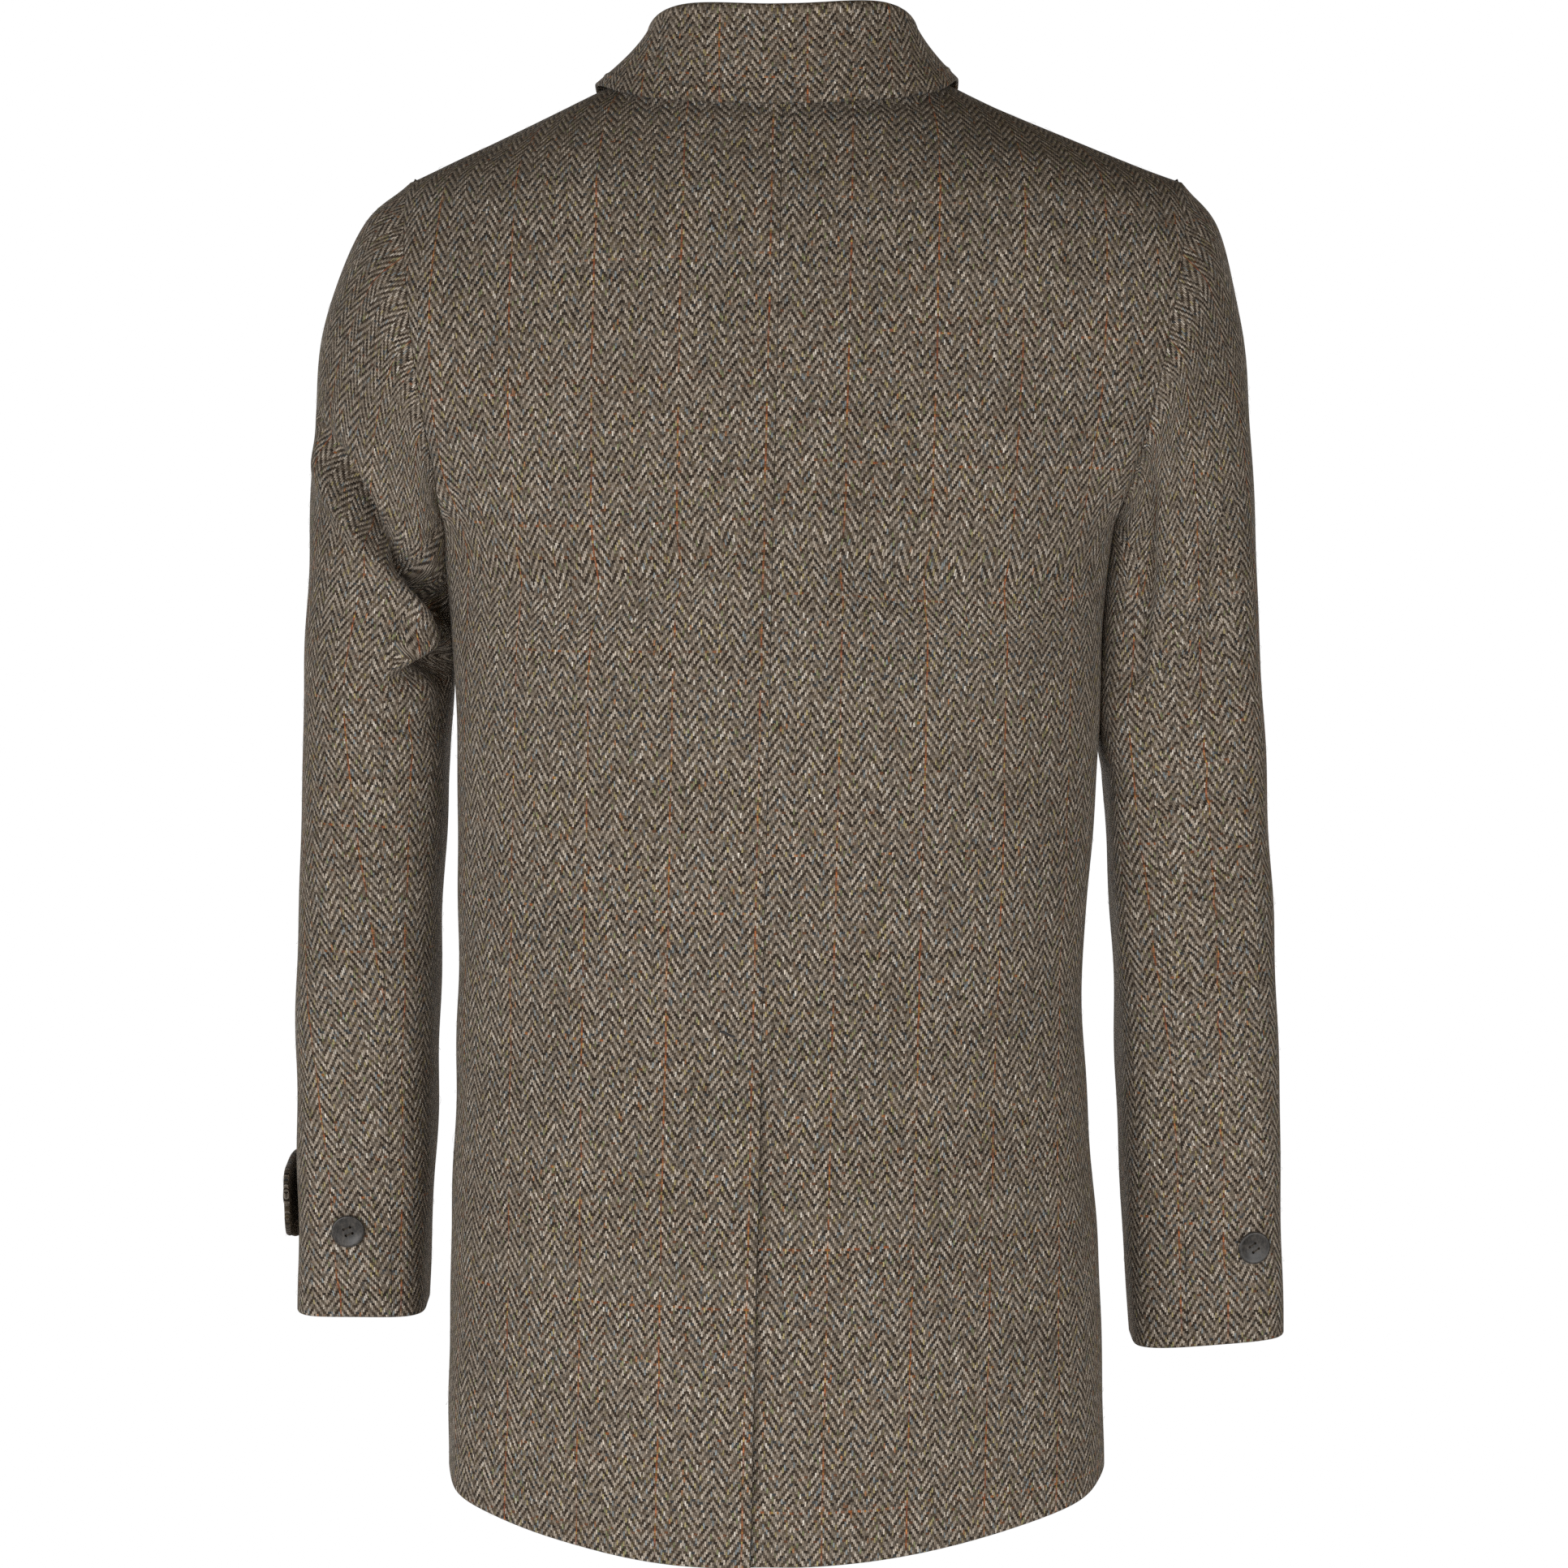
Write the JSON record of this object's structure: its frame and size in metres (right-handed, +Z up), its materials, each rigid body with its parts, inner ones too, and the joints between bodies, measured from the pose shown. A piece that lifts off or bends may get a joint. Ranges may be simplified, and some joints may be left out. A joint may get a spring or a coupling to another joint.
{
  "type": "short overcoat",
  "caption": "Short single-breasted tweed overcoat, filled out as if worn: shirt collar, set-in sleeves, cuff straps and a centre back vent.",
  "frame": {"origin": "midway between the neck points of the shoulder seams, where the wearer's shoulders carry the coat", "axes": "+Z up; the wearer faces -Y, so the back of the coat is on +Y and the wearer's left is +X"},
  "size_m": [0.5984, 0.278, 0.8789],
  "materials": {
    "tweed": "rough herringbone wool",
    "horn": "satin, horn-like"
  },
  "bodies": {
    "root": {"back_left": "tweed", "back_right": "tweed", "front_left": "tweed", "front_right": "tweed", "sleeve_left_top": "tweed", "sleeve_left_under": "tweed", "sleeve_right_top": "tweed", "sleeve_right_under": "tweed", "collar_fall": "tweed", "collar_stand": "tweed", "cuff_tab_left": "tweed", "cuff_tab_right": "tweed", "cuff_button_left_back": "horn", "cuff_button_left_tab": "horn", "cuff_button_right_back": "horn", "cuff_button_right_tab": "horn", "front_button_1": "horn", "front_button_2": "horn", "front_button_3": "horn", "front_button_4": "horn"}
  },
  "joints": []
}
